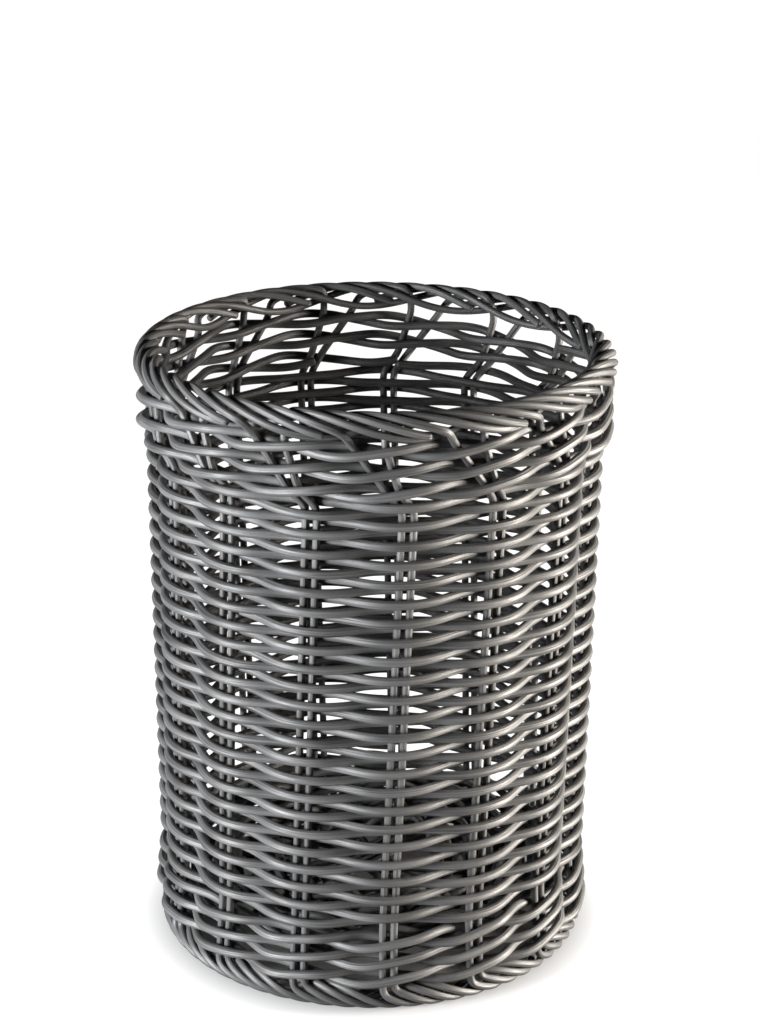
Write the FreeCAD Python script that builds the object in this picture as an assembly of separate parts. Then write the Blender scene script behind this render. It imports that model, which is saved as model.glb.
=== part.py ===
"""Round woven basket for table cutlery, made of plastic strands.

Fifteen pairs of upright stakes run from the foot border to the rim border. Side weavers
pass in front of one pair and behind the next. A wale of two twined strands binds the
pairs below the rim and above the foot. At the foot and at the rim the stakes themselves
are rolled round into a border like a rope. A woven base closes the bottom.

Frame: +Z up, origin on the floor at the middle of the foot. Millimetres and degrees.
"""
import FreeCAD, Part
import math
import os

Vector = FreeCAD.Vector

NEARLY_UPRIGHT = 0.2
CREST = 90.0
SHORTEST_TURN = 1.0

# Driving dimensions: alias, value, meaning. Angles about a border count from level outside.
SIZES = [
    ("pair_count", 15, "upright stake pairs round the wall, odd so that the rows alternate"),
    ("first_pair_angle", -85.4, "angle of the first pair round the basket at the foot"),
    ("pair_lean", 3.8, "turn of the stakes round the basket from the foot to the top row"),
    ("weaver_diameter", 2.2, "strand of the side rows, the wales and the base weave"),
    ("stake_diameter", 1.75, "strand of the stakes and both borders"),
    ("weaver_sides", 4, "flats that stand in for the round weaver"),
    ("stake_sides", 4, "flats that stand in for the round stake"),
    ("contact_gap", 0.05, "gap where a weaver lies against a stake"),
    ("flat_margin", 0.27, "how far a weaver runs straight past the stakes it covers"),
    ("pair_spacing", 2.7, "between the two stakes of a pair in the wall"),
    ("body_foot_radius", 51.9, "circle of stake centres at the lowest side row"),
    ("body_top_radius", 53.1, "circle of stake centres at the highest side row"),
    ("row_count", 46, "turns of the side weave"),
    ("row_gap", 0.2, "gap between two neighbouring side rows"),
    ("row_clearance", 0.15, "gap between the side rows and each wale"),
    ("side_weaver_count", 9, "lengths of strand spliced for the side weave"),
    ("side_start_pair", 7, "pair behind which the side weave begins and ends"),
    ("splice_gap", 0.8, "between the butted ends of two strands"),
    ("wale_rounds", 3, "rounds of twining in each wale"),
    ("wale_step_pairs", 4, "pairs over which a wale climbs to its next round"),
    ("wale_start_pair", 9, "pair at which each wale begins"),
    ("wale_reach", 5.5, "half length of a wale strand's straight pass over a pair"),
    ("twine_gap", 0.2, "gap between the two strands of a wale where they cross"),
    ("foot_core", 2.4, "from the middle of the foot border to its strands"),
    ("foot_border_radius", 51.5, "circle of the middle of the foot border"),
    ("foot_turn", 120.0, "turn of a foot strand about the border from one pair to the next"),
    ("foot_start_b", 55.0, "where the right stake meets the foot border"),
    ("foot_start_a", 15.4, "where the left stake meets the foot border"),
    ("foot_end", -215.0, "where a foot strand is cut off underneath"),
    ("foot_steps", 6, "straight runs of a foot strand round the border"),
    ("foot_clearance", 0.2, "gap between the foot border and the foot wale"),
    ("foot_wale_radius", 53.2, "circle of stake centres at the lowest round of the foot wale"),
    ("foot_round_gap", 0.25, "gap between two rounds of the foot wale"),
    ("top_wale_radius", 55.45, "circle of stake centres in the top wale"),
    ("top_round_gap", 0.25, "gap between two rounds of the top wale"),
    ("top_lean", 3.8, "how far a pair leans left from the highest side row to the top wale"),
    ("top_drift_a", 7.6, "how far the left stake leans on through the top wale"),
    ("top_drift_b", 3.2, "how far the right stake leans on through the top wale"),
    ("rim_lift", 5.3, "middle of the rim border above the highest round of the top wale"),
    ("rim_core", 2.4, "from the middle of the rim border to its strands"),
    ("rim_border_radius", 55.2, "circle of the middle of the rim border"),
    ("rim_turn", 102.857, "turn of a rim strand about the border from one pair to the next"),
    ("rim_reach_a", 1.6667, "pairs from a right stake back to where its left stake crosses the crest"),
    ("rim_reach_b", 0.8333, "pairs from a right stake on to where it crosses the crest"),
    ("rim_step", 51.4286, "turn of one straight run of a rim strand"),
    ("rim_start_a", -38.0, "where the left stake joins the rim border outside"),
    ("rim_end_a", 206.0, "where the left stake is cut off inside"),
    ("rim_start_b", 170.0, "where the right stake joins the rim border inside"),
    ("rim_end_b", -40.0, "where the right stake is cut off outside"),
    ("base_spokes", 15, "spokes of the base, odd so that its weave alternates"),
    ("base_sticks_a_layer", 4, "base sticks in each of the two crossing layers"),
    ("base_stick_gap", 0.5, "gap between neighbouring sticks in the middle of the base"),
    ("base_slath", 7.0, "radius at which the base sticks fan out"),
    ("base_cut_share", 0.3, "share of the crossing that the cut stick runs past its middle"),
    ("base_weave_start", 16.5, "radius at which the base weave begins"),
    ("base_row_gap", 0.5, "gap between neighbouring turns of the base weave"),
    ("base_clearance", 0.08, "gap between a spoke's end and the foot wale that holds it"),
]


def make_sheet(doc):
    """Write the driving dimensions into a spreadsheet and give each value cell its alias."""
    sheet = doc.addObject("Spreadsheet::Sheet", "sizes")
    for row, (alias, value, meaning) in enumerate(SIZES, start=1):
        sheet.set("A%d" % row, alias)
        sheet.set("B%d" % row, str(value))
        sheet.set("C%d" % row, meaning)
        sheet.setAlias("B%d" % row, alias)
    doc.recompute()
    return sheet


class Sizes:
    """The sheet's values by alias, with the heights that follow from them."""

    def __init__(self, sheet):
        for alias, _value, _meaning in SIZES:
            setattr(self, alias, sheet.get(alias))
        weaver = self.weaver_diameter
        stake = self.stake_diameter
        self.pair_step = 360.0 / self.pair_count
        self.lay = (weaver + stake) / 2 + self.contact_gap
        self.twine = (weaver + self.twine_gap) / 2
        self.round_half = self.twine + weaver / 2
        self.foot_middle = self.foot_core + stake / 2
        foot_border_top = self.foot_middle + self.foot_core + stake / 2
        self.foot_pitch = 2 * weaver + self.foot_round_gap
        self.foot_first = foot_border_top + self.foot_clearance + self.round_half
        self.foot_last = self.foot_first + (self.wale_rounds - 1) * self.foot_pitch
        self.row_pitch = weaver + self.row_gap
        self.side_first = self.foot_last + self.round_half + self.row_clearance + weaver / 2
        self.side_last = self.side_first + self.row_count * self.row_pitch
        self.top_pitch = 2 * weaver + self.top_round_gap
        weave_top = self.side_last + weaver / 2 + self.row_clearance
        laid = (self.wale_start_pair - self.side_start_pair) / self.pair_count
        self.top_first = weave_top + self.round_half - self.row_pitch * (1 - laid)
        self.top_last = self.top_first + (self.wale_rounds - 1) * self.top_pitch + self.row_pitch
        self.rim_middle = self.top_last + self.rim_lift
        self.wall_foot = self.side_first - self.row_clearance
        self.wall_top = self.side_last - self.row_pitch
        self.wale_bottom = weave_top + weaver / 2
        self.base_height = self.foot_first + self.foot_pitch
        held = stake_radius(self, self.base_height) - self.lay
        self.base_rim = held - weaver / 2 - self.base_clearance


def polar(radius, angle, height):
    """Point at a radius from the basket's axis, an angle round it and a height."""
    turn = math.radians(angle)
    return Vector(radius * math.cos(turn), radius * math.sin(turn), height)


def beside(radius, angle, lateral, height):
    """Point whose plane, square to the radius at an angle, is passed a lateral way round."""
    turn = math.radians(angle)
    x = radius * math.cos(turn) - lateral * math.sin(turn)
    y = radius * math.sin(turn) + lateral * math.cos(turn)
    return Vector(x, y, height)


def on_border(border_radius, middle, core, around, angle):
    """Point on a border: turned about the border's middle circle at an angle round it."""
    turn = math.radians(around)
    return polar(border_radius + core * math.cos(turn), angle, middle + core * math.sin(turn))


def share(low, high, part):
    """Value a part of the way from low to high."""
    return low + (high - low) * part


def ramp(height, low, high):
    """How far a height is from a low level to a high one, kept between 0 and 1."""
    return min(1.0, max(0.0, (height - low) / (high - low)))


def pair_angle(s, pair, height):
    """Angle of a pair round the basket at a height."""
    lean = s.pair_lean * ramp(height, s.side_first, s.wall_top)
    return s.first_pair_angle + pair * s.pair_step + lean


def stake_radius(s, height):
    """Circle of stake centres at a height: foot flare, straight wall, top flare."""
    if height < s.wall_foot:
        part = ramp(height, s.foot_first - s.twine, s.wall_foot)
        return share(s.foot_wale_radius, s.body_foot_radius, part)
    wall = share(s.body_foot_radius, s.body_top_radius, ramp(height, s.wall_foot, s.wall_top))
    return share(wall, s.top_wale_radius, ramp(height, s.wall_top, s.wale_bottom))


def stake_lateral(s, member, height):
    """Way round from the pair's line to one of its stakes at a height."""
    lean = s.top_lean * ramp(height, s.wall_top, s.wale_bottom)
    part = max(0.0, (height - s.wale_bottom) / (s.top_last - s.wale_bottom))
    if member == "b":
        return s.pair_spacing / 2 - lean - s.top_drift_b * part
    return -s.pair_spacing / 2 - lean - s.top_drift_a * part


def stake_point(s, pair, member, height):
    """Point of a stake's middle line at a height in the wall or the wales."""
    lateral = stake_lateral(s, member, height)
    return beside(stake_radius(s, height), pair_angle(s, pair, height), lateral, height)


def lay_round(s, height):
    """Way out from a stake's middle to a weaver's at a height, longer where stakes lean."""
    step = s.weaver_diameter / 2
    slope = (stake_radius(s, height + step) - stake_radius(s, height - step)) / (2 * step)
    return s.lay * math.hypot(1.0, slope)


def passing(s, pair, height, way, rise, half_height, least_reach):
    """The two ends of a weaver's straight pass in front of a pair (way 1) or behind (-1).

    The pass climbs by twice the rise and covers the pair over a band of heights.
    """
    left = stake_lateral(s, "a", height + half_height) - s.flat_margin
    right = stake_lateral(s, "b", height - half_height) + s.flat_margin
    middle = (left + right) / 2
    reach = max((right - left) / 2, least_reach)
    ends = []
    for side in (-1, 1):
        level = height + side * rise
        across = stake_radius(s, level) + way * lay_round(s, level)
        angle = pair_angle(s, pair, height)
        ends.append(beside(across, angle, middle + side * reach, level))
    return ends


def side_height(s, crossing):
    """Height of the side weave at a crossing, counted on round the basket from pair 0."""
    return s.side_first + s.row_pitch * (crossing - s.side_start_pair) / s.pair_count


def side_pass(s, crossing, way):
    """A side weaver's pass in front of a pair or behind it."""
    return passing(s, crossing, side_height(s, crossing), way, 0.0, s.weaver_diameter / 2, 0.0)


def behind_pair(s, crossing):
    """A side weaver's pass behind a pair: a straight run, with bends where it needs room."""
    before = side_pass(s, crossing - 1, 1)[1]
    after = side_pass(s, crossing + 1, 1)[0]
    middle = (before + after) * 0.5
    room = stake_radius(s, middle.z) - (s.weaver_diameter + s.stake_diameter) / 2
    if math.hypot(middle.x, middle.y) <= room:
        return [before, after], []
    bends = side_pass(s, crossing, -1)
    return bends, bends


def splice(s, ends):
    """Cut ends of two strands that butt in the middle of a straight run."""
    middle = (ends[0] + ends[1]) * 0.5
    half = (ends[1] - ends[0]).normalize() * (s.splice_gap / 2)
    return middle - half, middle + half


def side_weaver_path(s, first, last):
    """Middle line of one side weaver, from behind one pair to behind another."""
    ends, bends = behind_pair(s, first)
    path = [splice(s, ends)[1]] + bends[1:]
    for crossing in range(first + 1, last, 2):
        path += side_pass(s, crossing, 1)
        ends, bends = behind_pair(s, crossing + 1)
        path += bends if crossing + 1 < last else bends[:1]
    path.append(splice(s, ends)[0])
    return path


def side_weaver_paths(s):
    """Middle lines of all the side weavers, spliced behind pairs."""
    total = s.row_count * s.pair_count
    marks = []
    for number in range(s.side_weaver_count + 1):
        crossing = total * number / s.side_weaver_count
        marks.append(s.side_start_pair + 2 * round(crossing / 2))
    return [side_weaver_path(s, first, last) for first, last in zip(marks, marks[1:])]


def wale_height(s, crossing, first, pitch, slant):
    """Height of a wale at a crossing: rounds on a slant with a climb at the end of each."""
    rounds, within = divmod(crossing, s.pair_count)
    climb = (within - (s.pair_count - s.wale_step_pairs)) / s.wale_step_pairs
    step = (pitch - slant) * (rounds + max(0.0, climb))
    return first + slant * crossing / s.pair_count + step


def wale_path(s, strand, first, pitch, slant):
    """Middle line of one of a wale's two strands; each round rises by the slant.

    Strand 0 passes in front of even crossings and strand 1 in front of odd ones. In front
    a strand rises to the right and behind it falls, so the two cross between the pairs.
    """
    crossings = s.wale_rounds * s.pair_count - s.wale_step_pairs
    path = []
    for crossing in range(strand - 1, crossings + strand):
        height = wale_height(s, max(crossing, 0), first, pitch, slant)
        front = crossing % 2 == strand
        way = 1 if front else -1
        least = s.wale_reach if front else 0.0
        pair = crossing + s.wale_start_pair
        path += passing(s, pair, height, way, way * s.twine, s.round_half, least)
    return path


def foot_border_path(s, pair, member):
    """Middle line of a stake round the foot border, from its cut end up to the wall."""
    start = s.foot_start_b if member == "b" else s.foot_start_a
    lateral = stake_lateral(s, member, 0.0)
    angle = pair_angle(s, pair, 0.0) + math.degrees(lateral / s.foot_wale_radius)
    path = []
    for step in range(s.foot_steps + 1):
        around = share(s.foot_end, start, step / s.foot_steps)
        along = (start - around) / s.foot_turn * s.pair_step
        path.append(on_border(s.foot_border_radius, s.foot_middle, s.foot_core, around,
                              angle + along))
    return path


def wall_path(s, pair, member):
    """Middle line of a stake from the foot wale up through the top wale."""
    knots = (s.foot_first - s.twine, s.wall_foot, s.wall_top, s.wale_bottom,
             s.top_last + s.twine)
    return [stake_point(s, pair, member, height) for height in knots]


def rim_border_path(s, pair, member):
    """Middle line of a stake round the rim border, from the top wale to its cut end."""
    angle = pair_angle(s, pair, s.top_last)
    angle += math.degrees(stake_lateral(s, "b", s.top_last) / s.top_wale_radius)
    if member == "a":
        crest = angle - s.rim_reach_a * s.pair_step
        turns = [s.rim_start_a, s.rim_end_a]
    else:
        crest = angle + s.rim_reach_b * s.pair_step
        turns = [s.rim_end_b, s.rim_start_b]
    steps = math.floor((CREST - turns[0] - SHORTEST_TURN) / s.rim_step)
    around = CREST - s.rim_step * steps
    while around < turns[-1] - SHORTEST_TURN:
        turns.insert(-1, around)
        around += s.rim_step
    if member == "b":
        turns.reverse()
    path = []
    for around in turns:
        along = (CREST - around) / s.rim_turn * s.pair_step
        path.append(on_border(s.rim_border_radius, s.rim_middle, s.rim_core, around,
                              crest + along))
    return path


def stake_path(s, pair, member):
    """Middle line of one stake: foot border, wall and rim border in one length."""
    path = foot_border_path(s, pair, member)
    path += wall_path(s, pair, member)
    path += rim_border_path(s, pair, member)
    return path


def base_stick_row(s, layer, number):
    """The two spoke numbers of a base stick, and how far it lies from the middle.

    Four sticks lie one way and four cross them. The last one is cut off at the crossing,
    so that the spokes are odd in number; its missing spoke is None.
    """
    row = s.base_sticks_a_layer
    ahead = layer * row + number
    behind = (layer + 3) * row - 1 - number
    if behind >= s.base_spokes:
        behind = None
    offset = (number - (row - 1) / 2) * (s.stake_diameter + s.base_stick_gap)
    return ahead, behind, offset


def spoke_angle(s, spoke):
    """Angle of a base spoke round the basket, in line with a pair of stakes at the foot."""
    return s.first_pair_angle + spoke * 360.0 / s.base_spokes


def layer_angle(s, layer):
    """Direction of one layer of base sticks."""
    row = s.base_sticks_a_layer
    middle = (row - 1) / 2 + layer * row
    return spoke_angle(s, middle + (s.base_spokes / 2 - 2 * row) / 2 * (1 - layer))


def fan_point(s, layer, offset, way):
    """Where a stick bends out of the crossing into its spoke, ahead or behind."""
    turn = math.radians(layer_angle(s, layer))
    height = s.base_height + (layer - 0.5) * (s.stake_diameter + s.contact_gap)
    x = way * s.base_slath * math.cos(turn) - offset * math.sin(turn)
    y = way * s.base_slath * math.sin(turn) + offset * math.cos(turn)
    return Vector(x, y, height)


def spoke_line(s, spoke):
    """Middle line of one base spoke: the bend where it starts and its end."""
    row = s.base_sticks_a_layer
    side, number = divmod(spoke, row)
    layer = side % 2
    way = 1 if side < 2 else -1
    if way < 0:
        number = row - 1 - number
    _ahead, _behind, offset = base_stick_row(s, layer, number)
    end = polar(s.base_rim, spoke_angle(s, spoke), s.base_height)
    return fan_point(s, layer, offset, way), end


def base_stick_path(s, layer, number):
    """Middle line of one base stick, spoke to spoke or from the crossing to a spoke."""
    ahead, behind, offset = base_stick_row(s, layer, number)
    path = [fan_point(s, layer, offset, -1), fan_point(s, layer, offset, 1),
            spoke_line(s, ahead)[1]]
    if behind is None:
        path[0] = (path[0] + path[1]) / 2 + (path[0] - path[1]) * s.base_cut_share
    else:
        path.insert(0, spoke_line(s, behind)[1])
    return path


def spoke_point(s, spoke, radius):
    """Point of a spoke's middle line at a radius."""
    start, end = spoke_line(s, spoke)
    step = end - start
    a = step.x ** 2 + step.y ** 2
    b = start.x * step.x + start.y * step.y
    c = start.x ** 2 + start.y ** 2 - radius ** 2
    part = (math.sqrt(b * b - a * c) - b) / a
    return start + step * part


def base_weaver_path(s):
    """Middle line of the base weaver: a flat spiral over one spoke and under the next."""
    pitch = s.weaver_diameter + s.base_row_gap
    last = s.base_rim - s.weaver_diameter / 2
    crossings = int((last - s.base_weave_start) / pitch * s.base_spokes)
    path = []
    for crossing in range(crossings + 1):
        radius = last - pitch * (crossings - crossing) / s.base_spokes
        arc = radius * 2 * math.pi / s.base_spokes
        rise = s.lay / math.sqrt(1 - (2 * s.lay / arc) ** 2)
        way = 1 if crossing % 2 else -1
        point = spoke_point(s, crossing % s.base_spokes, radius)
        path.append(point + Vector(0, 0, way * rise))
    return path


def first_ring(point, along, sides, radius):
    """Corners of a strand's section round its first point, the first one facing up."""
    level = Vector(0, 0, 1).cross(along)
    if level.Length < NEARLY_UPRIGHT:
        level = Vector(point.x, point.y, 0).cross(along)
    level.normalize()
    up = along.cross(level)
    ring = []
    for corner in range(sides):
        turn = math.radians(360.0 * corner / sides) + math.pi / 2
        ring.append(point + level * (radius * math.cos(turn)) + up * (radius * math.sin(turn)))
    return ring


def slide(corners, along, point, facing):
    """Corners moved along a run until they lie in the plane through a point."""
    return [corner + along * ((point - corner).dot(facing) / along.dot(facing))
            for corner in corners]


def strand_solid(path, sides, radius):
    """Solid of a strand: its section carried along the middle line, mitred at each bend."""
    runs = [(after - before).normalize() for before, after in zip(path, path[1:])]
    rings = [first_ring(path[0], runs[0], sides, radius)]
    for number, run in enumerate(runs):
        following = runs[min(number + 1, len(runs) - 1)]
        rings.append(slide(rings[-1], run, path[number + 1], run + following))
    faces = [Part.Face(Part.makePolygon(ring + ring[:1])) for ring in (rings[0], rings[-1])]
    for near, far in zip(rings, rings[1:]):
        for corner in range(sides):
            other = (corner + 1) % sides
            outline = [near[corner], near[other], far[other], far[corner], near[corner]]
            faces.append(Part.Face(Part.makePolygon(outline)))
    shell = Part.makeShell(faces)
    shell.sewShape()
    solid = Part.Solid(shell)
    if solid.Volume < 0:
        solid.reverse()
    return solid


def add_strand(doc, name, path, sides, diameter):
    """Add one strand; a sweep feature breaks on such long mitred lines, so it is built."""
    strand = doc.addObject("Part::Feature", name)
    strand.Shape = strand_solid(path, sides, diameter / 2)
    strand.Label = name
    return strand


def stand_on_floor(strands):
    """Place the whole basket so that its lowest strand touches the floor."""
    lowest = min(strand.Shape.BoundBox.ZMin for strand in strands)
    for strand in strands:
        strand.Placement = FreeCAD.Placement(Vector(0, 0, -lowest), FreeCAD.Rotation())


def build(doc, s):
    """Make every strand of the basket, each with its own label."""
    weaver = (s.weaver_sides, s.weaver_diameter)
    stake = (s.stake_sides, s.stake_diameter)
    strands = []
    for pair in range(s.pair_count):
        for member in ("a", "b"):
            name = "stake_%02d_%s" % (pair + 1, member)
            strands.append(add_strand(doc, name, stake_path(s, pair, member), *stake))
    for number, path in enumerate(side_weaver_paths(s), start=1):
        strands.append(add_strand(doc, "side_weaver_%d" % number, path, *weaver))
    for number in (0, 1):
        name = "foot_wale_strand_%d" % (number + 1)
        path = wale_path(s, number, s.foot_first, s.foot_pitch, 0.0)
        strands.append(add_strand(doc, name, path, *weaver))
        name = "top_wale_strand_%d" % (number + 1)
        path = wale_path(s, number, s.top_first, s.top_pitch, s.row_pitch)
        strands.append(add_strand(doc, name, path, *weaver))
    for number in range(2 * s.base_sticks_a_layer):
        layer, place = divmod(number, s.base_sticks_a_layer)
        name = "base_stick_%d" % (number + 1)
        strands.append(add_strand(doc, name, base_stick_path(s, layer, place), *stake))
    strands.append(add_strand(doc, "base_weaver", base_weaver_path(s), *weaver))
    return strands


def check(doc, strands):
    """Stop before anything is written if an object failed or a shape isn't a sound solid."""
    for item in doc.Objects:
        if "Invalid" in item.State or "Error" in item.State:
            raise RuntimeError("%s did not compute" % item.Label)
    for strand in strands:
        shape = strand.Shape
        if shape.isNull() or not shape.isValid() or len(shape.Solids) != 1:
            raise RuntimeError("%s is not one sound solid" % strand.Label)


def main():
    doc = FreeCAD.newDocument("cutlery_basket")
    sheet = make_sheet(doc)
    strands = build(doc, Sizes(sheet))
    stand_on_floor(strands)
    doc.recompute()
    check(doc, strands)
    os.makedirs("parts", exist_ok=True)
    for strand in strands:
        strand.Shape.exportStep("parts/%s.step" % strand.Label)
        box = strand.Shape.BoundBox
        print("%-20s z %.2f to %.2f" % (strand.Label, box.ZMin, box.ZMax))


main()
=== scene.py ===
# %% [markdown]
# # A woven basket for table cutlery
# The basket is nothing but lengths of round plastic strand. Thirty upright stakes stand in
# fifteen pairs, weavers pass round them, and the stakes' own ends are rolled into the rim
# and the foot. So the whole scene needs one kind of surface, a tube carried along a line,
# and the craft lies in the formulas of those lines.

# %% Load the frame
import math
import bpy
import numpy as np
from mathutils import Matrix, Vector


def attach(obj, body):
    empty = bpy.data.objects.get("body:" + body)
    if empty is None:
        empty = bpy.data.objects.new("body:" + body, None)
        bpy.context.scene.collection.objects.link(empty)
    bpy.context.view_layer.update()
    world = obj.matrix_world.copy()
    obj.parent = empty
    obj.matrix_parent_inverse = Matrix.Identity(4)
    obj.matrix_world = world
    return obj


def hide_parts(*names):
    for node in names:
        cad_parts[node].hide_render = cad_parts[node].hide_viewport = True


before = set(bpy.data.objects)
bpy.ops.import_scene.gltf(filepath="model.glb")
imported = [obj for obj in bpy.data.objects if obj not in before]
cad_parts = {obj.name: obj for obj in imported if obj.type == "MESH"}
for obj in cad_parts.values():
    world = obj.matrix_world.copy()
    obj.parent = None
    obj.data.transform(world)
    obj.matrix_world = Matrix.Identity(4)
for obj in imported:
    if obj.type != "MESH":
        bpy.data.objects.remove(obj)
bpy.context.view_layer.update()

print("CAD nodes:", len(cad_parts))

# %% [markdown]
# ## Sizes
# The maker's own measures come first: the stock that is woven, the number of pairs and how
# tightly the rows are beaten down. Every height follows from them by stacking, as it does on
# the real basket: foot border, foot wale, side rows, top wale, rim. Millimetres and degrees.

# %% Driving sizes
PAIRS = 15                       # pairs of stakes
STEP = 360 / PAIRS               # from one pair to the next
FIRST_PAIR = -85.4               # direction of the first pair at the foot
PAIR_LEAN = 3.8                  # how far a pair has turned at the top of the wall
WEAVER = 2.2                     # diameter of a weaver
STAKE = 1.85                     # diameter of a stake
LAY = (WEAVER + STAKE) / 2       # from a stake's middle to that of a weaver lying on it
PAIR_SPACING = 2.7               # between the middles of a pair's two stakes
ROWS = 46                        # side rows
ROW_GAP = 0.2                    # left open where one weaver lies on another
ROW_PITCH = WEAVER + ROW_GAP     # climb of a side row in one turn
ROW_CLEARANCE = 0.15             # between the side rows and the wales
SIDE_START = 7                   # pair behind which the side rows start
ROUNDS = 3                       # rounds of each wale
FOOT_WALE_START, FOOT_CLIMB = 9, 4    # starting pair, and pairs taken to climb a round
TOP_WALE_START, TOP_CLIMB = 8, 3
TWINE = (WEAVER + ROW_GAP) / 2   # how far a twined strand rises and falls
ROUND_GAP = 0.25
WALE_PITCH = 2 * WEAVER + ROUND_GAP   # from one round of a wale to the next
RADIUS_FOOT_WALE = 53.2          # of the circle that the stakes stand on
RADIUS_WALL_FOOT = 51.9
RADIUS_WALL_TOP = 53.1
RADIUS_TOP_WALE = 55.45
TOP_LEAN = 3.8                   # sideways lean of both stakes in the top wale
DRIFT_A = 7.6                    # further lean of the left stake, up to the rim
DRIFT_B = 3.2                    # and of the right one
print("%d pairs, %d side rows, wales of %d rounds" % (PAIRS, ROWS, ROUNDS))

# %% [markdown]
# ## Heights
# On the real basket no height is measured: each row lies on the one before. The same sums
# are made here, from the floor up, so that a thicker strand or one more row lifts all that
# lies above it. The top wale starts one pair past the end of the spiral below it, where the
# spiral still has most of a turn to climb, so it starts almost a row lower.

# %% Heights, stacked from the floor up
FOOT_CORE = 2.4                  # circle that the foot border's strands turn on
FOOT_CLEARANCE = 0.1             # between the foot border and the foot wale
RIM_CORE = 2.8                   # circle that the rim's strands turn on
RIM_RADIUS = 55.1                # from the axis to the middle of the rim
RIM_LIFT = 4.96                  # from the last round's middle to the middle of the rim

ROUND_HALF = TWINE + WEAVER / 2
FOOT_MIDDLE = FOOT_CORE + STAKE / 2
FOOT_FIRST = FOOT_MIDDLE + FOOT_CORE + STAKE / 2 + FOOT_CLEARANCE + ROUND_HALF
FOOT_LAST = FOOT_FIRST + (ROUNDS - 1) * WALE_PITCH
SIDE_FIRST = FOOT_LAST + ROUND_HALF + ROW_CLEARANCE + WEAVER / 2
SIDE_LAST = SIDE_FIRST + ROWS * ROW_PITCH
WEAVE_TOP = SIDE_LAST + WEAVER / 2 + ROW_CLEARANCE
TOP_FIRST = WEAVE_TOP + ROUND_HALF - ROW_PITCH * (1 - (TOP_WALE_START - SIDE_START) / PAIRS)
TOP_LAST = TOP_FIRST + (ROUNDS - 1) * WALE_PITCH + ROW_PITCH
RIM_MIDDLE = TOP_LAST + RIM_LIFT
WALL_FOOT = SIDE_FIRST - ROW_CLEARANCE
WALL_TOP = SIDE_LAST - ROW_PITCH
WALE_BOTTOM = WEAVE_TOP + WEAVER / 2
print("rim top at %.1f mm" % (RIM_MIDDLE + RIM_CORE + STAKE / 2))

# %% [markdown]
# ## Where the stakes stand
# A pair is a direction round the basket, and each of its two stakes is a little way to one
# side of it. Both change slowly with height: the wall widens upwards, the pairs lean round
# by a few degrees, and in the top wale the left stake leans away from the right one. Each
# is written as a function of height, so that weavers and stakes ask the same functions and
# always meet.

# %% Stake positions as functions of height
def ramp(height, low, high):
    """0 below the low level, 1 above the high one, straight between."""
    return np.clip((height - low) / (high - low), 0, 1)


def stake_radius(height):
    """Foot flare, then a wall that widens evenly, then the flare of the top wale."""
    foot = 1 - ramp(height, FOOT_FIRST - TWINE, WALL_FOOT)
    wall = ramp(height, WALL_FOOT, WALL_TOP)
    top = ramp(height, WALL_TOP, WALE_BOTTOM)
    radius = RADIUS_WALL_FOOT + (RADIUS_WALL_TOP - RADIUS_WALL_FOOT) * wall
    radius = radius + (RADIUS_FOOT_WALE - RADIUS_WALL_FOOT) * foot
    return radius + (RADIUS_TOP_WALE - RADIUS_WALL_TOP) * top


def stake_lateral(side, height):
    """Way round from the pair's direction: side -1 is the left stake, +1 the right one."""
    lean = TOP_LEAN * ramp(height, WALL_TOP, WALE_BOTTOM)
    part = np.maximum(0, (height - WALE_BOTTOM) / (TOP_LAST - WALE_BOTTOM))
    drift = DRIFT_B if side > 0 else DRIFT_A
    return side * PAIR_SPACING / 2 - lean - drift * part


def pair_angle(pair, height):
    """Evenly spaced pairs, turned by the lean that grows with height."""
    return FIRST_PAIR + pair * STEP + PAIR_LEAN * ramp(height, SIDE_FIRST, WALL_TOP)


def pair_middle(height):
    """Way round from the pair's direction to the middle between its two stakes."""
    return (stake_lateral(-1, height) + stake_lateral(1, height)) / 2


def polar(radius, angle, height):
    """Points from a radius, an angle round the axis in degrees, and a height."""
    turn = np.radians(angle)
    radius, turn, height = np.broadcast_arrays(radius, turn, height)
    return np.stack([radius * np.cos(turn), radius * np.sin(turn), height], axis=-1)


print("wall radius %.1f to %.1f mm" % (stake_radius(SIDE_FIRST), stake_radius(WALL_TOP)))

# %% [markdown]
# ## Even and rounded lines
# A strand can't turn a sharp corner, but a line is easiest to lay out by its corners. So the
# corners come first and are rounded afterwards by a running mean along the line, which works
# for any number of bends. Even steps matter too: they keep a tube's rings evenly apart.

# %% Even and eased lines
SPACING = 0.9                    # between two rings of a tube
FINE_SPACING = 0.3               # between points while a bend is being rounded
TAILS = 3                        # how far the mean's weight is followed, in reaches


def even(line, spacing=SPACING):
    """The same line with points at even steps of arc length."""
    length = np.concatenate([[0], np.cumsum(np.linalg.norm(np.diff(line, axis=0), axis=1))])
    at = np.linspace(0, length[-1], max(2, int(length[-1] / spacing) + 1))
    return np.stack([np.interp(at, length, line[:, axis]) for axis in range(3)], axis=-1)


def eased(line, reach, spacing=FINE_SPACING):
    """The line with its bends rounded: a running mean with a bell-shaped weight.

    Beyond both ends the line is carried on straight, so that the ends stay in place.
    """
    line = even(line, spacing)
    count = int(TAILS * reach / spacing)
    weight = np.exp(-0.5 * (np.arange(-count, count + 1) * spacing / reach) ** 2)
    weight = weight / weight.sum()
    before = line[0] + (line[0] - line[1]) * np.arange(count, 0, -1)[:, None]
    after = line[-1] + (line[-1] - line[-2]) * np.arange(1, count + 1)[:, None]
    padded = np.concatenate([before, line, after])
    smooth = [np.convolve(padded[:, axis], weight, "valid") for axis in range(3)]
    return np.stack(smooth, axis=-1)


corner = np.array([[0.0, 0, 0], [20, 0, 0], [20, 20, 0]])
print("a corner eased by 2 mm is cut by %.2f mm"
      % np.linalg.norm(eased(corner, 2.0) - corner[1], axis=1).min())

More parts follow.
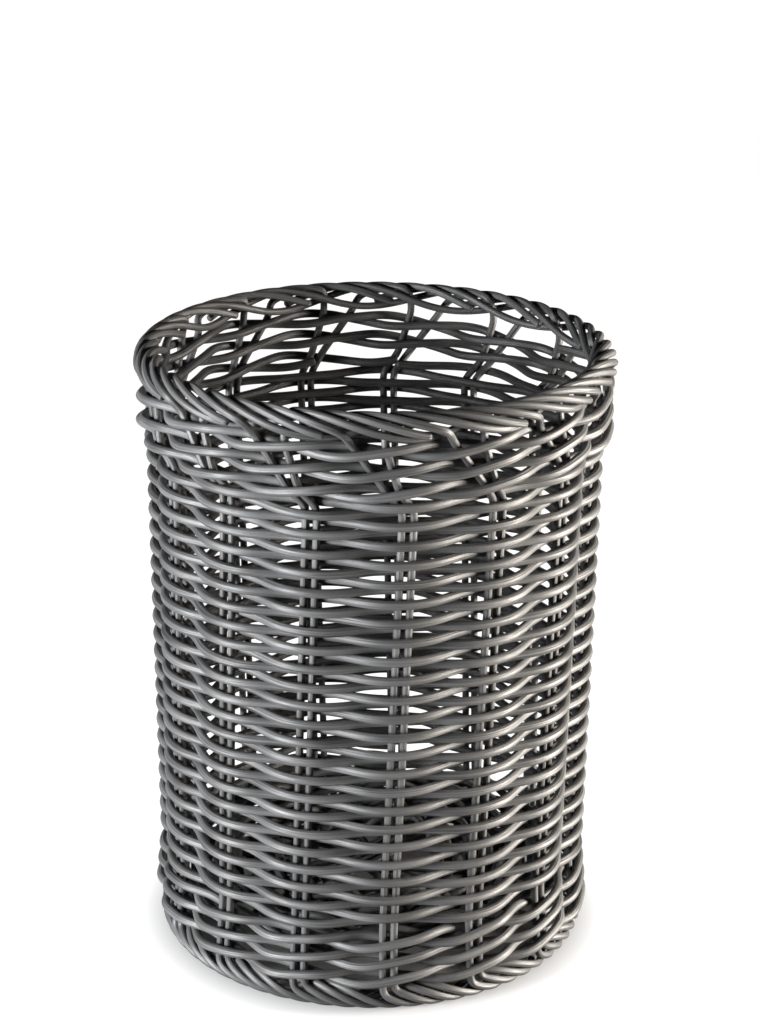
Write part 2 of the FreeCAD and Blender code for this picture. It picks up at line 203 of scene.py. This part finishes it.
# %% [markdown]
# ## The one surface: a tube along a line
# Any line of points becomes a strand when a circle is carried along it. A curve object with
# a round bevel would do that too, but it leaves open how the circle turns from point to
# point. Here the circle gets two directions square to the line, which come from a reference
# that is never parallel to it: straight up for the level weavers, outwards for the upright
# stakes. The ends are closed with a small bevel, like a strand cut with side cutters.
#
# Each vertex also keeps where it lies on the straight, unbent strand. The material draws
# its fine ribs there, so they follow every bend.

# %% Tube
SIDES = 14
BEVEL = 0.16


def tube(line, radius, reference):
    """Vertices of a tube: centre + radius (cos t side + sin t up), with bevelled ends.

    Side is square to the reference and the line, up is square to the line and to side.
    Returns the vertices ring by ring, then the two poles; the unbent place of each, which
    is (radius cos t, radius sin t, length so far); and the number of rings.
    """
    along = np.gradient(line, axis=0)
    along = along / np.linalg.norm(along, axis=1)[:, None]
    side = np.cross(reference, along)
    side = side / np.linalg.norm(side, axis=1)[:, None]
    up = np.cross(along, side)
    size = np.full(len(line), radius)
    length = np.arange(len(line)) * SPACING
    first, last = line[:1], line[-1:]
    line = np.concatenate([first, first + along[:1] * BEVEL, line[1:-1],
                           last - along[-1:] * BEVEL, last])
    pick = np.concatenate([[0], np.arange(len(size)), [len(size) - 1]])
    side, up, size, length = side[pick], up[pick], size[pick], length[pick]
    size[0] = size[-1] = radius - BEVEL
    turn = np.linspace(0, 2 * np.pi, SIDES, endpoint=False)
    cosine, sine = np.cos(turn)[None, :], np.sin(turn)[None, :]
    ring = size[:, None, None] * (cosine[..., None] * side[:, None, :]
                                  + sine[..., None] * up[:, None, :])
    points = (line[:, None, :] + ring).reshape(-1, 3)
    unbent = np.stack(np.broadcast_arrays(radius * cosine, radius * sine, length[:, None]),
                      axis=-1).reshape(-1, 3)
    points = np.concatenate([points, first, last])
    unbent = np.concatenate([unbent, [[0, 0, 0]], [[0, 0, length[-1]]]])
    return points, unbent, len(line)


def tube_faces(rings):
    """Quads between rings and a fan of triangles at each end, all facing outwards."""
    ring, corner = np.meshgrid(np.arange(rings - 1), np.arange(SIDES), indexing="ij")
    near = ring * SIDES + corner
    far = ring * SIDES + (corner + 1) % SIDES
    quads = np.stack([near, far, far + SIDES, near + SIDES], axis=-1).reshape(-1, 4)
    corner = np.arange(SIDES)
    following = (corner + 1) % SIDES
    top = (rings - 1) * SIDES
    first_pole, last_pole = np.full(SIDES, rings * SIDES), np.full(SIDES, rings * SIDES + 1)
    start = np.stack([following, corner, first_pole], axis=-1)
    end = np.stack([top + corner, top + following, last_pole], axis=-1)
    return quads.tolist() + start.tolist() + end.tolist()


print("tube of %d sides, ring every %.1f mm" % (SIDES, SPACING))

# %% [markdown]
# ## Nodes written as arithmetic
# A pattern is easier to read as a sum than as a chain of node calls. So a socket is wrapped
# in a small class that turns plus, minus and times into Math nodes.

# %% Wire
class Wire:
    """A socket that can be added, subtracted and multiplied."""

    def __init__(self, tree, socket):
        self.tree = tree
        self.socket = socket

    def _math(self, operation, *values):
        return self.tree.node("ShaderNodeMath", {"operation": operation},
                              dict(enumerate(values)))

    def __add__(self, other):
        return self._math("ADD", self, other)

    def __sub__(self, other):
        return self._math("SUBTRACT", self, other)

    def __mul__(self, other):
        return self._math("MULTIPLY", self, other)

    __radd__ = __add__


print("wires can be added, subtracted and multiplied")

# %% [markdown]
# ## One method for every node
# Making a node in Blender takes a line to add it, one for each setting and one for each
# link. A single method that takes the kind, the settings and the inputs keeps a material
# short. It serves the world as well, because a world is also a tree of nodes.

# %% Node tree
class NodeTree:
    """The nodes of a material or of the world, made by one method."""

    def __init__(self, owner):
        owner.use_nodes = True
        self.owner = owner
        self.nodes = owner.node_tree.nodes
        self.links = owner.node_tree.links
        self.nodes.clear()

    def node(self, kind, settings=None, inputs=None, output=0):
        """Make a node, apply its settings, then set or link its sockets."""
        made = self.nodes.new(kind)
        for name, value in (settings or {}).items():
            if name == "stops":
                for element, (position, colour) in zip(made.color_ramp.elements, value):
                    element.position = position
                    element.color = colour
            else:
                setattr(made, name, value)
        for name, value in (inputs or {}).items():
            if isinstance(value, Wire):
                self.links.new(value.socket, made.inputs[name])
            else:
                made.inputs[name].default_value = value
        return Wire(self, made.outputs[output]) if made.outputs else None


def grey(value):
    """A neutral colour."""
    return (value, value, value, 1.0)


print("mid grey is", grey(0.5))

# %% [markdown]
# ## The strand's finish
# The strands are extruded plastic, dark grey, satin, drawn with fine ribs along their length
# like split cane. The ribs are a noise stretched along the unbent strand. They rock the
# surface through a bump, vary the grey and make the crests of the ribs a little rougher. A
# second, slower noise lets the shade drift from place to place. Strands lying deep in the
# weave stay darker because less light reaches them, so no colour is needed for that.

# %% The ribbed plastic
RIB_SCALE = (2.0, 2.0, 0.03)     # patterns a millimetre: fine across, very long along
DRIFT_SCALE = (0.12, 0.12, 0.05)
RIB_SHARE, DRIFT_SHARE = 0.55, 0.45
DARK_STOP, LIGHT_STOP = 0.38, 0.62
DARK_SHADE, LIGHT_SHADE = 0.45, 1.6
RIB_ROUGHNESS = 0.25
RIB_DEPTH = 0.0003               # metres
PLASTIC_IOR = 1.5


def ribbed_plastic(name, shade, roughness):
    """Satin dark plastic with ribs along the strand and slow changes of shade."""
    finish = NodeTree(bpy.data.materials.new(name))
    place = finish.node("ShaderNodeAttribute", {"attribute_name": "unbent"}, output="Vector")
    along = finish.node("ShaderNodeMapping", {}, {"Vector": place, "Scale": RIB_SCALE})
    ribs = finish.node("ShaderNodeTexNoise", {}, {
        "Vector": along, "Scale": 1.0, "Detail": 3.0, "Roughness": 0.6})
    slow = finish.node("ShaderNodeMapping", {}, {"Vector": place, "Scale": DRIFT_SCALE})
    drift = finish.node("ShaderNodeTexNoise", {}, {"Vector": slow, "Scale": 1.0, "Detail": 2.0})
    stops = [(DARK_STOP, grey(shade * DARK_SHADE)), (LIGHT_STOP, grey(shade * LIGHT_SHADE))]
    colour = finish.node("ShaderNodeValToRGB", {"stops": stops}, {
        "Fac": ribs * RIB_SHARE + drift * DRIFT_SHARE})
    bump = finish.node("ShaderNodeBump", {}, {
        "Strength": 1.0, "Distance": RIB_DEPTH, "Height": ribs})
    shader = finish.node("ShaderNodeBsdfPrincipled", {}, {
        "Base Color": colour, "Roughness": roughness + (ribs - 0.5) * RIB_ROUGHNESS,
        "Normal": bump, "IOR": PLASTIC_IOR})
    finish.node("ShaderNodeOutputMaterial", {}, {"Surface": shader})
    return finish.owner


plastics = {"stake_strand": ribbed_plastic("stake_plastic", 0.053, 0.5),
            "weaver_strand": ribbed_plastic("weaver_plastic", 0.061, 0.48),
            "base_strand": ribbed_plastic("base_plastic", 0.05, 0.52)}
print("finishes:", ", ".join(plastics))

# %% [markdown]
# ## From a line to a finished piece
# Every piece of this basket is made by the same few lines: even out the line, carry the
# circle along it, keep the unbent places as an attribute, give it its plastic, and let it
# stand for the CAD node that has its name. The mesh already holds the piece's place, so the
# object stays at the origin.

# %% Strand maker
MM_PER_METRE = 1000
finished = {}


def upwards(line):
    """Reference for a level strand: straight up at every point."""
    return np.broadcast_to(np.array([0.0, 0.0, 1.0]), line.shape)


def outwards(line):
    """Reference for an upright strand: level, away from the basket's axis."""
    return line * np.array([1, 1, 0])


def strand(name, line, diameter, reference, kind):
    """Make one strand as an object that stands for the CAD node of the same name."""
    line = even(line)
    points, unbent, rings = tube(line, diameter / 2, reference(line))
    mesh = bpy.data.meshes.new(name)
    mesh.from_pydata((points / MM_PER_METRE).tolist(), [], tube_faces(rings))
    mesh.polygons.foreach_set("use_smooth", np.ones(len(mesh.polygons), dtype=bool))
    place = mesh.attributes.new("unbent", "FLOAT_VECTOR", "POINT")
    place.data.foreach_set("vector", unbent.astype(np.float32).ravel())
    mesh.materials.append(plastics[kind])
    mesh.update()
    piece = bpy.data.objects.new("woven_" + name, mesh)
    bpy.context.scene.collection.objects.link(piece)
    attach(piece, "root")
    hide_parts(name)
    finished[name] = piece


print("strands of %.2f and %.2f mm" % (WEAVER, STAKE))

# %% [markdown]
# ## Side rows
# A side weaver is a spiral that climbs one row a turn. Counted in crossings, it is in front
# of every even pair and behind every odd one, so its distance from the stake circle is the
# cosine of half a turn per crossing. Being stiff, it also cuts the corner a little between
# two pairs. The spiral is spliced from nine lengths whose ends hide behind stakes. Hands
# never weave quite evenly, so every length wanders a little in height.

# %% Side weavers
SIDE_LENGTHS = 9
SPLICE = 0.8                     # gap between two lengths
CORNER_CUT = 0.55                # how far inwards a weaver passes between two pairs
CROSSING_STEP = 0.04             # points along a weaver, in crossings
SIDE_WANDER = 0.12
WANDER_RATES = (0.61, 1.27, 2.9)


def flattened(wave):
    """A cosine made flatter at its crests, as a weaver lies over two stakes."""
    return np.sin(np.pi / 2 * wave)


def wander(crossing, seed, size):
    """A slow unevenness of hand work: the mean of three sines of unrelated lengths."""
    phase = np.random.default_rng(seed).uniform(0, 2 * np.pi, 3)
    waves = (np.sin(crossing * rate + shift) for rate, shift in zip(WANDER_RATES, phase))
    return size * sum(waves) / 3


def side_line(first, last, seed):
    """Angle by crossing, climb by row pitch, cosine in and out of the stakes."""
    crossing = np.arange(first, last, CROSSING_STEP)
    height = SIDE_FIRST + ROW_PITCH * (crossing - SIDE_START) / PAIRS
    radius = stake_radius(height)
    wave = np.cos(np.pi * crossing)
    out = LAY * 0.5 * (wave + flattened(wave)) - CORNER_CUT * np.sin(np.pi * crossing) ** 2
    angle = pair_angle(crossing, height) + np.degrees(pair_middle(height) / radius)
    return polar(radius + out, angle, height + wander(crossing, seed, SIDE_WANDER))


marks = [SIDE_START + 2 * round(ROWS * PAIRS * n / SIDE_LENGTHS / 2)
         for n in range(SIDE_LENGTHS + 1)]
half_gap = SPLICE / 2 / (RADIUS_WALL_TOP * math.radians(STEP))
for number, (first, last) in enumerate(zip(marks, marks[1:]), start=1):
    line = side_line(first + half_gap, last - half_gap, number)
    strand("side_weaver_%d" % number, line, WEAVER, upwards, "weaver_strand")
print("side rows up to %.1f mm in %d lengths" % (SIDE_LAST, SIDE_LENGTHS))

# %% [markdown]
# ## Wales
# A wale is two strands twined like a cord with the stakes caught in its turns: one goes in
# and out as a cosine while it rises and falls as a sine. The second does the same half a
# turn later. The first round follows the rows below it: level at the foot, on the slant of
# the spiral at the top. There the slant fades, so that the last round is level with the rim.
# Over a few pairs at the back a wale climbs to its next round.

# %% Foot and top wale
RIM_LEVEL = 0.7                  # share of the slant that the level last round is raised by
WALE_WANDER = 0.1
WALE_SEED = 40


def wale_line(number, first, slant, start, climb_pairs):
    """Twined strand: out by the flattened cosine, up by the sine of its turn.

    Its height is the round's, plus the slant times the part of a turn since the last climb.
    The slant fades with each climb, until the last round is level.
    """
    crossings = ROUNDS * PAIRS - climb_pairs
    crossing = np.arange(number - 1 + half_gap, crossings + number - 1 + CROSSING_STEP / 2,
                         CROSSING_STEP)
    gone = np.maximum(crossing, 0)
    rounds, within = np.divmod(gone, PAIRS)
    climbed = rounds + ramp(within, PAIRS - climb_pairs, PAIRS)
    levelled = climbed / (ROUNDS - 1)
    along = gone / PAIRS - climbed
    height = first + WALE_PITCH * climbed
    height = height + slant * (along * (1 - levelled) + RIM_LEVEL * levelled)
    turn = np.pi * (crossing - number)
    twined = height + TWINE * np.sin(turn)
    radius = stake_radius(twined)
    angle = pair_angle(crossing + start, height) + np.degrees(pair_middle(height) / radius)
    out = LAY * flattened(np.cos(turn))
    return polar(radius + out, angle,
                 twined + wander(crossing, WALE_SEED + number, WALE_WANDER))


# The solids number the two strands of the top wale the other way round.
for number in (0, 1):
    line = wale_line(number, FOOT_FIRST, 0.0, FOOT_WALE_START, FOOT_CLIMB)
    strand("foot_wale_strand_%d" % (number + 1), line, WEAVER, upwards, "weaver_strand")
    line = wale_line(number, TOP_FIRST, ROW_PITCH, TOP_WALE_START, TOP_CLIMB)
    strand("top_wale_strand_%d" % (2 - number), line, WEAVER, upwards, "weaver_strand")
print("top wale up to %.1f mm" % (TOP_LAST + ROUND_HALF))

# %% [markdown]
# ## A stake in the foot border
# A stake is one length from under the foot to the cut end at the rim. At the foot it turns
# about the foot border's middle circle. Turning steadily about a circle while going round
# it makes a helix, and many such helices lie side by side as a rope.
#
# Turns about a border are counted in degrees from its outermost line: 90 is its crest, 180
# its inside, and minus 90 its underside.

# %% Foot border
FOOT_RADIUS = 51.5               # from the axis to the middle of the foot border
FOOT_TURN = 240.0                # turn from one pair to the next
FOOT_START = {-1: 25.0, 1: 55.0}      # where the left and the right stake leave the wall
FOOT_END = -480.0                # where both are cut off
FOOT_POINTS = 80


def on_border(radius, middle, core, around, angle):
    """Point turned about a border's middle circle, at an angle round the basket."""
    turn = np.radians(around)
    return polar(radius + core * np.cos(turn), angle, middle + core * np.sin(turn))


def foot_roll(pair, side):
    """Helix from the cut end to the wall: round by one pair with each FOOT_TURN."""
    start = FOOT_START[side]
    around = np.linspace(FOOT_END, start, FOOT_POINTS)
    angle = pair_angle(pair, 0.0) + np.degrees(stake_lateral(side, 0.0) / RADIUS_FOOT_WALE)
    return on_border(FOOT_RADIUS, FOOT_MIDDLE, FOOT_CORE, around,
                     angle + (start - around) / FOOT_TURN * STEP)


print("a right stake passes %.1f pairs in the foot" % ((FOOT_START[1] - FOOT_END) / FOOT_TURN))

# %% [markdown]
# ## A stake in the wall
# Between the borders a stake bends only where the wall changes: under the foot wale, where
# the side rows begin and end, and at both ends of the top wale. Five points are enough, and
# the functions that the weavers ask place them too.

# %% Wall
def wall_run(pair, side):
    """The heights at which a stake bends, each with its own radius and way round."""
    height = np.array([FOOT_FIRST - TWINE, WALL_FOOT, WALL_TOP, WALE_BOTTOM, TOP_LAST + TWINE])
    radius = stake_radius(height)
    lateral = np.degrees(stake_lateral(side, height) / radius)
    return polar(radius, pair_angle(pair, height) + lateral, height)


print("stakes leave the top wale at %.1f mm" % wall_run(0, 1)[-1, 2])

# %% [markdown]
# ## A stake in the rim
# The rim's rope has seven places round it. From one pair to the next a strand moves on by
# three of them, so no two strands ever want the same place. The left stake of a pair comes
# from outside and rolls over the crest to the inside. The right one comes up through the
# middle, rolls over the crest to the outside, then once more right round the rope.

# %% Rim
RIM_PLACES = 7
PLACES_A_PAIR = 3
PLACES_APART = 4                 # places that the left stake keeps behind the right one
RIM_TURN = PLACES_A_PAIR * 360 / RIM_PLACES
OVER_THE_TOP = 90
RIGHT_CREST = 0.24               # pairs from the right stake's own place to its crest
CREST = {-1: RIGHT_CREST - PLACES_APART / PLACES_A_PAIR, 1: RIGHT_CREST}
RIM_SPAN = {-1: (-15.0, 200.0), 1: (127.0, -400.0)}
RIM_ENTRY = (-0.1, -1.0)         # out and up from the rim's middle, on the right stake's way
RIM_POINTS = 120


def rim_roll(pair, side):
    """Helix from the wall to the cut end: round by one pair with each RIM_TURN.

    The right stake first passes a point near the middle of the rope.
    """
    lateral = stake_lateral(1, TOP_LAST) / RADIUS_TOP_WALE
    entry_angle = pair_angle(pair, TOP_LAST) + np.degrees(lateral)
    crest_angle = entry_angle + CREST[side] * STEP
    around = np.linspace(*RIM_SPAN[side], RIM_POINTS)
    rolled = on_border(RIM_RADIUS, RIM_MIDDLE, RIM_CORE, around,
                       crest_angle + (OVER_THE_TOP - around) / RIM_TURN * STEP)
    if side < 0:
        return rolled
    entry = polar(RIM_RADIUS + RIM_ENTRY[0], entry_angle, RIM_MIDDLE + RIM_ENTRY[1])
    return np.concatenate([entry[None], rolled])


print("rope of %d places, %.1f degrees a pair" % (RIM_PLACES, RIM_TURN))

# %% [markdown]
# ## The thirty stakes
# Foot, wall and rim are joined end to end, and rounding the whole line makes one smooth
# strand of them, as stiff plastic would bend.

# %% Stakes
BEND_EASE = 1.4
for pair in range(PAIRS):
    for side, letter in ((-1, "a"), (1, "b")):
        parts = [foot_roll(pair, side), wall_run(pair, side), rim_roll(pair, side)]
        strand("stake_%02d_%s" % (pair + 1, letter), eased(np.concatenate(parts), BEND_EASE),
               STAKE, outwards, "stake_strand")
print("stakes:", 2 * PAIRS)

# %% [markdown]
# ## Base sticks
# The base is hidden in use. Four sticks are laid across four, and their ends are fanned out
# into fifteen spokes, in line with the pairs. Eight sticks have sixteen ends, so the last
# stick is cut off where the two layers cross.

# %% Base sticks
ROW = 4                          # sticks in a layer
SLATH = 7.0                      # from the middle to where the sticks fan out
STICK_PITCH = STAKE + 0.4
BASE_GAP = 0.08                  # between a spoke's end and the strand that it meets
BASE_HEIGHT = FOOT_FIRST + WALE_PITCH
BASE_RIM = stake_radius(BASE_HEIGHT) - LAY - WEAVER / 2 - BASE_GAP
CUT_SHARE = 0.2                  # share of the crossing by which the last stick is shorter
STICK_EASE = 0.9


def spoke_angle(spoke):
    """Spokes are in line with the pairs at the foot."""
    return FIRST_PAIR + spoke * STEP


def layer_turn(layer):
    """Direction of a layer of sticks, in radians: midway between its two fans."""
    middle = (ROW - 1) / 2 + layer * ROW
    return math.radians(spoke_angle(middle + (PAIRS / 2 - 2 * ROW) / 2 * (1 - layer)))


def fan_point(layer, number, way):
    """Where a stick leaves the crossing: ahead by the slath, aside by its place."""
    turn = layer_turn(layer)
    offset = (number - (ROW - 1) / 2) * STICK_PITCH
    ahead = np.array([math.cos(turn), math.sin(turn)]) * way * SLATH
    aside = np.array([-math.sin(turn), math.cos(turn)]) * offset
    return np.append(ahead + aside, BASE_HEIGHT + (layer - 0.5) * STAKE)


def spoke_line(spoke):
    """Start at the fan and end at the foot wale."""
    quarter, number = divmod(spoke, ROW)
    way = 1 if quarter < 2 else -1
    number = number if way > 0 else ROW - 1 - number
    end = polar(BASE_RIM, spoke_angle(spoke), BASE_HEIGHT)
    return fan_point(quarter % 2, number, way), end


for number in range(2 * ROW):
    layer, place = divmod(number, ROW)
    ahead, behind = layer * ROW + place, (layer + 3) * ROW - 1 - place
    line = [fan_point(layer, place, -1), fan_point(layer, place, 1), spoke_line(ahead)[1]]
    if behind < PAIRS:
        line.insert(0, spoke_line(behind)[1])
    else:
        line[0] = line[0] * (1 - CUT_SHARE) + line[1] * CUT_SHARE
    strand("base_stick_%d" % (number + 1), eased(np.array(line), STICK_EASE), STAKE, upwards,
           "base_strand")
print("base out to %.1f mm" % BASE_RIM)

# %% [markdown]
# ## Base weaver
# One weaver runs over one spoke and under the next in a flat spiral. An odd number of spokes
# makes each turn alternate with the last, as in the wall. Near the middle the two layers of
# sticks lie at different heights, so the weaver takes its height from the two spokes that it
# is between.

# %% Base weaver
WEAVE_START = 16.5               # radius of the innermost turn
BASE_PITCH = WEAVER + 0.5
BASE_STEP = 0.05                 # points along the base weaver, in crossings


def on_spoke(start, run, radius):
    """The point start + t run that is one radius from the axis.

    Its distance squared is a t t + 2 b t + c + radius squared, which leaves a quadratic.
    """
    a = (run[:, :2] ** 2).sum(axis=1)
    b = (start[:, :2] * run[:, :2]).sum(axis=1)
    c = (start[:, :2] ** 2).sum(axis=1) - radius ** 2
    return start + run * ((np.sqrt(b * b - a * c) - b) / a)[:, None]


def base_weaver_line():
    """Radius grows by one pitch a turn; the height swings over and under the spokes.

    It swings by a little more than the lay, because the weaver crosses a spoke aslant.
    """
    last = BASE_RIM - WEAVER / 2
    crossings = int((last - WEAVE_START) / BASE_PITCH * PAIRS)
    crossing = np.arange(0, crossings + BASE_STEP / 5, BASE_STEP)
    radius = last - BASE_PITCH * (crossings - crossing) / PAIRS
    starts, ends = map(np.array, zip(*[spoke_line(spoke) for spoke in range(PAIRS)]))
    runs = ends - starts
    lower = np.floor(crossing).astype(int)
    near, far = (on_spoke(starts[spoke % PAIRS], runs[spoke % PAIRS], radius)
                 for spoke in (lower, lower + 1))
    part = (crossing - lower)[:, None]
    place = near * (1 - part) + far * part
    angle = np.degrees(np.arctan2(place[:, 1], place[:, 0]))
    rise = LAY / np.sqrt(1 - (2 * LAY / (radius * math.radians(STEP))) ** 2)
    return polar(radius, angle, place[:, 2] - rise * np.cos(np.pi * crossing))


line = base_weaver_line()
strand("base_weaver", line, WEAVER, upwards, "base_strand")
print("base weaver from %.1f mm out" % np.linalg.norm(line[0, :2]))

# %% [markdown]
# ## Floor
# The basket stands on a pale floor in a white studio. The floor glows for the camera only,
# so it lights nothing, and it still takes the soft shadow of the basket. Under the basket,
# where no lamp reaches, it doesn't glow: that is a painted shadow, which keeps the gaps near
# the foot dark.

# %% Floor
FLOOR_HALF = 4.0                 # metres, as are the distances below
FLOOR_DROP = 0.0002
FLOOR_GREY = 0.3
# Painted shadow under the basket: no glow inside the first distance, full glow beyond the
# second.
FOOT_PAINTED_SHADOW = (0.047, 0.06)       # distances at which the glow begins and is full
FLOOR_NEAR = (0.25, 0.8)         # distance and glow
FLOOR_FAR = (1.3, 1.0)


def pale_floor():
    """Matt floor with a glow for the camera alone that lifts it to white.

    The glow is fuller far away, and the floor under the basket has none: a painted shadow
    there.
    """
    finish = NodeTree(bpy.data.materials.new("pale_floor"))
    place = finish.node("ShaderNodeTexCoord", output="Object")
    away = finish.node("ShaderNodeVectorMath", {"operation": "LENGTH"}, {0: place},
                       output="Value")
    glow = finish.node("ShaderNodeMapRange", {}, {
        "Value": away, "From Min": FLOOR_NEAR[0], "From Max": FLOOR_FAR[0],
        "To Min": FLOOR_NEAR[1], "To Max": FLOOR_FAR[1]})
    # Painted shadow: this takes the glow away under the basket.
    outside_painted_shadow = finish.node("ShaderNodeMapRange", {}, {
        "Value": away, "From Min": FOOT_PAINTED_SHADOW[0], "From Max": FOOT_PAINTED_SHADOW[1]})
    seen = finish.node("ShaderNodeLightPath", output="Is Camera Ray")
    shader = finish.node("ShaderNodeBsdfPrincipled", {}, {
        "Base Color": grey(FLOOR_GREY), "Roughness": 0.9,
        "Emission Color": glow * outside_painted_shadow * seen, "Emission Strength": 1.0})
    finish.node("ShaderNodeOutputMaterial", {}, {"Surface": shader})
    return finish.owner


floor_mesh = bpy.data.meshes.new("floor")
corners = [(-FLOOR_HALF, -FLOOR_HALF, 0), (FLOOR_HALF, -FLOOR_HALF, 0),
           (FLOOR_HALF, FLOOR_HALF, 0), (-FLOOR_HALF, FLOOR_HALF, 0)]
floor_mesh.from_pydata(corners, [], [(0, 1, 2, 3)])
floor_mesh.materials.append(pale_floor())
floor = bpy.data.objects.new("floor", floor_mesh)
bpy.context.scene.collection.objects.link(floor)
floor.location.z = -FLOOR_DROP
print("floor of %.0f m" % (2 * FLOOR_HALF))

# %% [markdown]
# ## World
# White walls would light every dark gap of the weave. So the world has two strengths: plain
# white for the camera, and dim for everything else, and the lamps alone shape the strands.

# %% World
WORLD_LIGHT = 0.015              # strength for everything but the camera
WORLD_SEEN = 1.0
studio = NodeTree(bpy.data.worlds.new("studio"))
bpy.context.scene.world = studio.owner
dim, white = (studio.node("ShaderNodeBackground", {}, {"Color": grey(1.0),
                                                       "Strength": strength})
              for strength in (WORLD_LIGHT, WORLD_SEEN))
seen = studio.node("ShaderNodeLightPath", output="Is Camera Ray")
mixed = studio.node("ShaderNodeMixShader", {}, {0: seen, 1: dim, 2: white})
studio.node("ShaderNodeOutputWorld", {}, {"Surface": mixed})
print("world light", WORLD_LIGHT)

# %% [markdown]
# ## Lamps
# Round strands show their form by a bright line along each hump, with dark between. Two soft
# lamps stand low on either side, so that they strike the humps and hardly reach into the
# basket from above. The right one is warmer and brighter than the left.

# %% Two lamps
MIDDLE = (0.0, 0.0, 0.08)


def area_lamp(name, place, size, power, colour):
    """A square soft lamp, pointed at the middle of the basket. Metres and watts."""
    data = bpy.data.lights.new(name, "AREA")
    data.size = size
    data.energy = power
    data.color = colour
    lamp = bpy.data.objects.new(name, data)
    bpy.context.scene.collection.objects.link(lamp)
    lamp.location = place
    towards = Vector(MIDDLE) - Vector(place)
    lamp.rotation_euler = towards.to_track_quat("-Z", "Y").to_euler()
    print(name, "at %.2f m" % towards.length)


area_lamp("right_lamp", (0.82, -0.02, 0.12), size=0.24, power=34.0, colour=(1.0, 0.935, 0.85))
area_lamp("left_lamp", (-0.72, -0.4, 0.15), size=0.3, power=26.0, colour=(0.97, 0.98, 1.0))

# %% [markdown]
# ## Camera
# The camera looks down on the front from a little above the rim, level but for half a
# degree. Its three directions are built one from another: forward from the two angles, then
# level and upright, then both rolled about forward.

# %% Camera
CAMERA_PLACE = Vector((0.0, -0.5936, 0.3295))
CAMERA_DOWN = math.radians(20.26)
CAMERA_YAW = math.radians(0.132)
CAMERA_ROLL = math.radians(0.5)
FOCAL_PIXELS = 2547
IMAGE_HEIGHT = 1020
SENSOR = 36.0
NEAREST = 0.01

forward = Vector((math.sin(CAMERA_YAW) * math.cos(CAMERA_DOWN),
                  math.cos(CAMERA_YAW) * math.cos(CAMERA_DOWN), -math.sin(CAMERA_DOWN)))
level = forward.cross(Vector((0, 0, 1))).normalized()
upright = level.cross(forward)
right = level * math.cos(CAMERA_ROLL) + upright * math.sin(CAMERA_ROLL)
above = upright * math.cos(CAMERA_ROLL) - level * math.sin(CAMERA_ROLL)
camera_data = bpy.data.cameras.new("camera")
camera_data.sensor_fit = "VERTICAL"
camera_data.sensor_height = SENSOR
camera_data.lens = FOCAL_PIXELS / IMAGE_HEIGHT * SENSOR
camera_data.clip_start = NEAREST
camera = bpy.data.objects.new("camera", camera_data)
bpy.context.scene.collection.objects.link(camera)
turned = Matrix((right, above, -forward)).transposed()
camera.matrix_world = Matrix.Translation(CAMERA_PLACE) @ turned.to_4x4()
bpy.context.scene.camera = camera
bpy.context.scene.view_settings.view_transform = "Standard"
print("lens %.1f mm" % camera_data.lens)

# %% [markdown]
# ## Count
# The finished pieces are counted, with the triangles in them.

# %% Count the pieces and triangles
def triangles(mesh):
    """Triangles of a mesh: each face has two fewer than its corners."""
    corners = np.empty(len(mesh.polygons), dtype=np.int32)
    mesh.polygons.foreach_get("loop_total", corners)
    return int((corners - 2).sum())


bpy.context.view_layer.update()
print("pieces", len(finished), "triangles", sum(triangles(piece.data)
                                                for piece in finished.values()))
